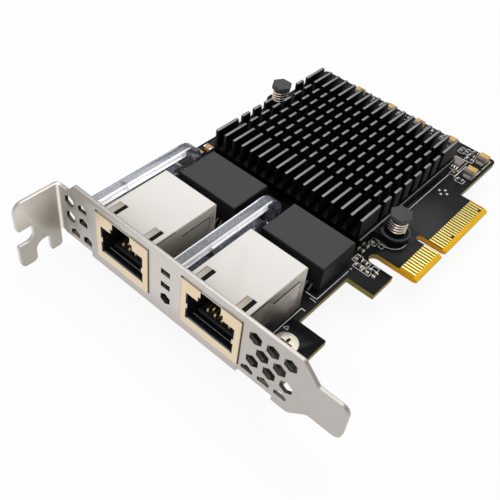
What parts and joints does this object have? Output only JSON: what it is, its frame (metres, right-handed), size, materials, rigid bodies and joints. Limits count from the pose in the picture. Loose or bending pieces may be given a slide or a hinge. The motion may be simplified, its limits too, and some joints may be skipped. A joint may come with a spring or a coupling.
{
  "type": "network interface card",
  "caption": "Low-profile expansion card with folded bracket, shielded network jacks, clear light pipes, finned heatsink held by sprung pins, and a gold edge connector.",
  "frame": {"origin": "centre of the bounding box on its underside; the bracket ear's lower end lies at z = 0", "axes": "+X from the flange to the bracket's tongue and edge connector, +Y from the bracket's face into the chassis, +Z away from the board's component side"},
  "size_m": [0.0822, 0.115, 0.0221],
  "materials": {
    "bracket_steel": "satin nickel plate",
    "laminate": "black solder mask, satin",
    "gold": "polished gold plate",
    "screw_steel": "satin",
    "black_moulding": "matt moulded",
    "grey_rubber": "matt",
    "black_aluminium": "black anodised",
    "pin_plastic": "matt",
    "spring_steel": "bright wire",
    "tin": "bright tin",
    "clear_plastic": "clear, polished",
    "lamp_white": "glossy",
    "tan_ceramic": "satin",
    "dark_ceramic": "satin",
    "crystal_can": "satin",
    "solder": "bright solder",
    "front_shield_metal": "warm satin plate",
    "shield_metal": "satin plate"
  },
  "bodies": {
    "root": {"bracket": "bracket_steel", "circuit_board": "laminate", "edge_contacts_top": "gold", "edge_contacts_bottom": "gold", "bracket_screws": "screw_steel", "controller_chip": "black_moulding", "thermal_pad": "grey_rubber", "heatsink": "black_aluminium", "push_pin_near": "pin_plastic", "push_pin_far": "pin_plastic", "pin_spring_near": "spring_steel", "pin_spring_far": "spring_steel", "magnetics_1": "black_moulding", "magnetics_2": "black_moulding", "magnetics_1_leads": "tin", "magnetics_2_leads": "tin", "light_pipe_1": "clear_plastic", "light_pipe_2": "clear_plastic", "status_lamps": "lamp_white", "large_capacitors": "tan_ceramic", "large_capacitors_terminals": "tin", "tan_capacitors": "tan_ceramic", "tan_capacitors_terminals": "tin", "hook_chip_parts": "dark_ceramic", "hook_chip_parts_terminals": "tin", "corner_chip_parts": "dark_ceramic", "corner_chip_parts_terminals": "tin", "rear_chip_parts": "dark_ceramic", "rear_chip_parts_terminals": "tin", "decoupling_capacitors": "tan_ceramic", "decoupling_capacitors_terminals": "tin", "regulator": "black_moulding", "regulator_leads": "tin", "flash_chip": "black_moulding", "flash_chip_leads": "tin", "crystal": "crystal_can", "jack_solder_joints": "solder", "jack_1_front_shield": "front_shield_metal", "jack_1_top_shield": "shield_metal", "jack_1_housing": "black_moulding", "jack_1_insert": "black_moulding", "jack_1_contacts": "gold", "jack_2_front_shield": "front_shield_metal", "jack_2_top_shield": "shield_metal", "jack_2_housing": "black_moulding", "jack_2_insert": "black_moulding", "jack_2_contacts": "gold"}
  },
  "joints": []
}
